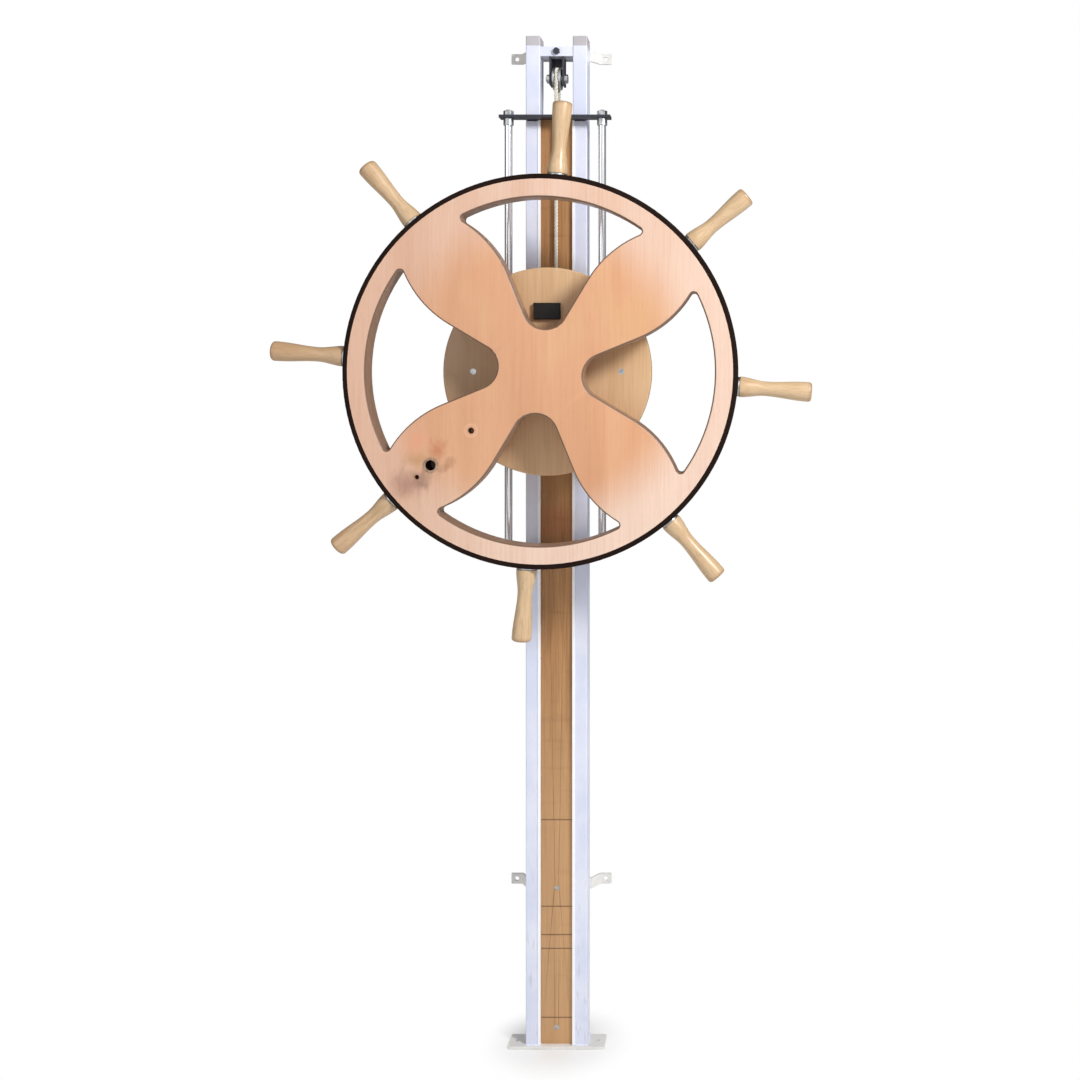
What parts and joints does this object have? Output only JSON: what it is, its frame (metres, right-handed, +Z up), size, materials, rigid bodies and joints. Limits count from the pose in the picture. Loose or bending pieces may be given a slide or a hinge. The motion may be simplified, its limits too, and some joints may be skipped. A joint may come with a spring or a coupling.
{
  "type": "wall shoulder wheel",
  "caption": "Wall-mounted shoulder wheel: a wooden wheel with cut-outs and radial handles turns on a carriage that slides on guide rods, with a cord, pulley and hidden counterweight.",
  "frame": {"origin": "midway between the two screw holes of the top wall bracket, on the wall plane", "axes": "+Z up along the rails, +Y into the wall, +X to the right of a person who faces the wheel"},
  "size_m": [1.045, 0.3012, 2.11],
  "materials": {
    "rail_paint": "satin",
    "cap_plastic": "matt",
    "bracket_steel": "satin grey",
    "plain_steel": "zinc plated",
    "dark_steel": "satin black",
    "rod_chrome": "polished",
    "board_wood": "oiled",
    "edge_trim": "smooth",
    "wheel_wood": "varnished",
    "disc_wood": "varnished",
    "handle_wood": "varnished",
    "band_rubber": "matt",
    "socket_steel": "zinc plated",
    "cord_fibre": "braided",
    "block_aluminium": "machined",
    "bush_bronze": "machined",
    "bearing_steel": "ground",
    "weight_iron": "painted",
    "knob_plastic": "matt"
  },
  "bodies": {
    "frame": {"left_rail": "rail_paint", "right_rail": "rail_paint", "rail_caps": "cap_plastic", "foot_plate": "bracket_steel", "middle_wall_bracket": "bracket_steel", "top_wall_bracket": "bracket_steel", "top_cross_tube": "rail_paint", "backboard": "board_wood", "board_cleats": "board_wood", "board_screws": "plain_steel", "board_trims": "edge_trim", "upper_rod_plate": "dark_steel", "lower_rod_plate": "dark_steel", "left_guide_rod": "rod_chrome", "right_guide_rod": "rod_chrome", "guide_rod_nuts": "plain_steel", "rod_bumpers": "plain_steel", "pulley_hanger": "dark_steel", "hanger_bolt": "dark_steel", "hanger_nut": "plain_steel", "pulley_axle": "plain_steel", "pulley_axle_nut": "plain_steel", "cord_over_pulley": "cord_fibre", "cord_front": "cord_fibre", "cord_rear": "cord_fibre"},
    "carriage": {"bearing_blocks": "block_aluminium", "lock_bearing_block": "block_aluminium", "rod_bushes": "bush_bronze", "carriage_plate": "dark_steel", "cord_anchor": "plain_steel", "anchor_bolts": "plain_steel", "cord_front_knot": "cord_fibre", "bearing_housing": "block_aluminium", "front_bearing": "bearing_steel", "rear_bearing": "bearing_steel", "bearing_circlip": "plain_steel", "disc_strap": "dark_steel", "backing_disc": "disc_wood", "disc_screws": "plain_steel", "arm_tube": "dark_steel", "arm_plug": "knob_plastic"},
    "wheel": {"wheel_board": "wheel_wood", "rim_band": "band_rubber", "handles": "handle_wood", "handle_washers": "plain_steel", "handle_studs": "plain_steel", "peg_bush": "socket_steel", "hub_flange": "plain_steel", "hub_screws": "plain_steel", "axle_shaft": "bearing_steel", "bearing_spacer": "plain_steel", "axle_spacer": "plain_steel", "axle_washer": "plain_steel", "axle_nut": "plain_steel"},
    "lock_knob": {"lock_knob": "knob_plastic", "lock_stud": "plain_steel"},
    "pulley": {"pulley_sheave": "plain_steel"},
    "counterweight": {"counterweight": "weight_iron", "cord_rear_knot": "cord_fibre"}
  },
  "joints": [
    {"name": "height_slide", "type": "slide", "parent": "frame", "child": "carriage", "axis": [0, 0, 1], "range_m": [-0.27, 0.42], "deforming": ["cord_front"]},
    {"name": "wheel_turn", "type": "hinge", "parent": "carriage", "child": "wheel", "pos_m": [0, -0.275, -0.669], "axis": [0, 1, 0], "continuous": true},
    {"name": "lock_knob_turn", "type": "hinge", "parent": "carriage", "child": "lock_knob", "pos_m": [0.13, -0.095, -0.614], "axis": [1, 0, 0], "range_deg": [0, 720]},
    {"name": "pulley_turn", "type": "hinge", "parent": "frame", "child": "pulley", "pos_m": [0, -0.064, -0.056], "axis": [1, 0, 0], "range_deg": [-1210, 780]},
    {"name": "counterweight_slide", "type": "slide", "parent": "frame", "child": "counterweight", "axis": [0, 0, 1], "range_m": [-0.42, 0.27], "deforming": ["cord_rear"]}
  ],
  "couplings": [
    {"joint": "pulley_turn", "follows": "height_slide", "rad_per_m": -50},
    {"joint": "counterweight_slide", "follows": "height_slide", "ratio": -1}
  ]
}
